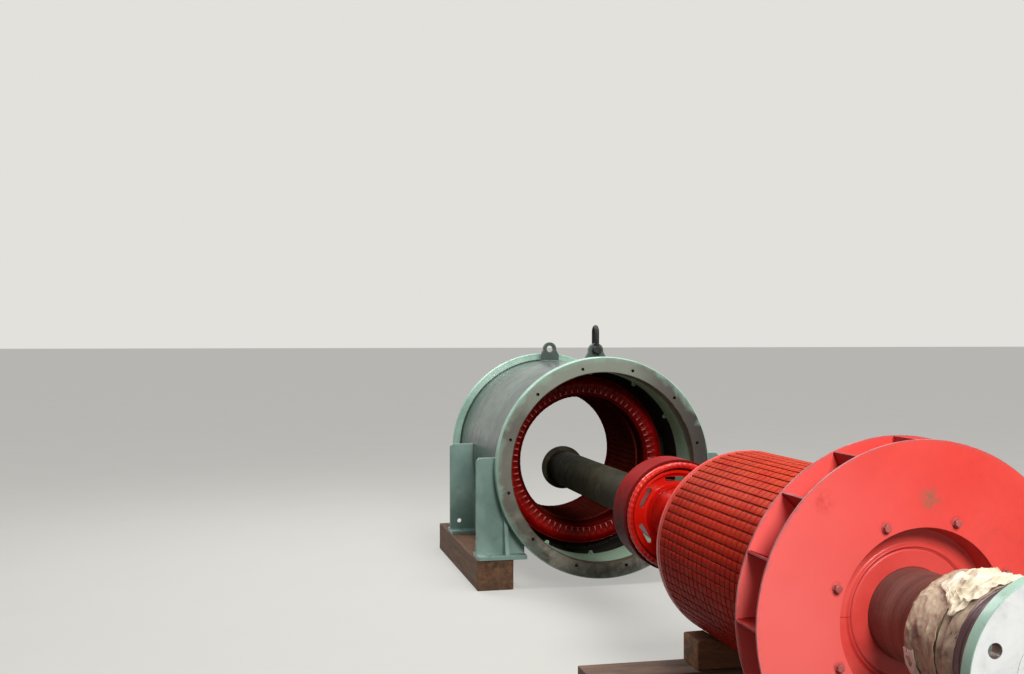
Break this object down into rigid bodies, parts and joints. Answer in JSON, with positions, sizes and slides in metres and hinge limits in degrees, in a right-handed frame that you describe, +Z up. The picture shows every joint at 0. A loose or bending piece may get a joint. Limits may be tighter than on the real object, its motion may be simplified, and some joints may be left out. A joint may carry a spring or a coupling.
{
  "type": "hydroelectric generator",
  "caption": "Horizontal hydroelectric generator opened for overhaul, with its flanged stator on sleepers and its wound rotor drawn out on timber cradles.",
  "frame": {"origin": "middle of the footprint, on the floor", "axes": "+X along the shaft towards the coupling, +Z up"},
  "size_m": [5.573, 1.61, 1.5537],
  "materials": {
    "coupling_white": "bare pale machined face with a pale green rim",
    "shaft_steel": "brown oiled steel",
    "wrap_paper": "crumpled paper",
    "fan_paint": "matte salmon red paint",
    "hub_paint": "red paint",
    "core_paint": "brownish red varnish",
    "gloss_red": "glossy red varnish",
    "exciter_paint": "dark red varnish",
    "tube_steel": "dirty grey brown steel",
    "shell_paint": "dark grey green gloss paint",
    "flange_steel": "bare machined steel with old paint",
    "mint_paint": "pale green paint",
    "bore_varnish": "dark brown red varnish",
    "winding_varnish": "deep glossy red varnish",
    "shackle_steel": "black forged steel",
    "timber": "old oiled timber"
  },
  "bodies": {
    "stator": {"frame_shell": "shell_paint", "front_flange": "flange_steel", "rear_flange": "flange_steel", "air_guide_ring": "mint_paint", "front_core_ring": "shell_paint", "rear_core_ring": "shell_paint", "stator_core": "bore_varnish", "front_winding": "winding_varnish", "rear_winding": "winding_varnish", "front_foot_left": "mint_paint", "front_foot_right": "mint_paint", "rear_foot_left": "mint_paint", "rear_foot_right": "mint_paint", "front_lifting_lug": "shell_paint", "rear_lifting_lug": "shell_paint", "lifting_shackle": "shackle_steel", "sleeper_left": "timber", "sleeper_right": "timber", "front_cross_timber": "timber", "rear_cross_timber": "timber", "front_saddle": "timber", "rear_saddle": "timber"},
    "rotor": {"coupling_half": "coupling_white", "shaft": "shaft_steel", "journal_wrap": "wrap_paper", "fan_front_disc": "fan_paint", "fan_rear_disc": "fan_paint", "fan_blades": "fan_paint", "fan_hub": "hub_paint", "rotor_spider": "core_paint", "rotor_core": "core_paint", "rotor_front_ring": "gloss_red", "rotor_rear_ring": "gloss_red", "exciter_wheel": "gloss_red", "exciter_core": "exciter_paint", "exciter_front_coils": "gloss_red", "exciter_rear_coils": "gloss_red", "extension_tube": "tube_steel", "tube_cap": "tube_steel"}
  },
  "joints": [
    {"name": "rotor_spin", "type": "hinge", "parent": "stator", "child": "rotor", "pos_m": [0, -0.075, 0.6333], "axis": [1, 0, 0], "continuous": true}
  ]
}
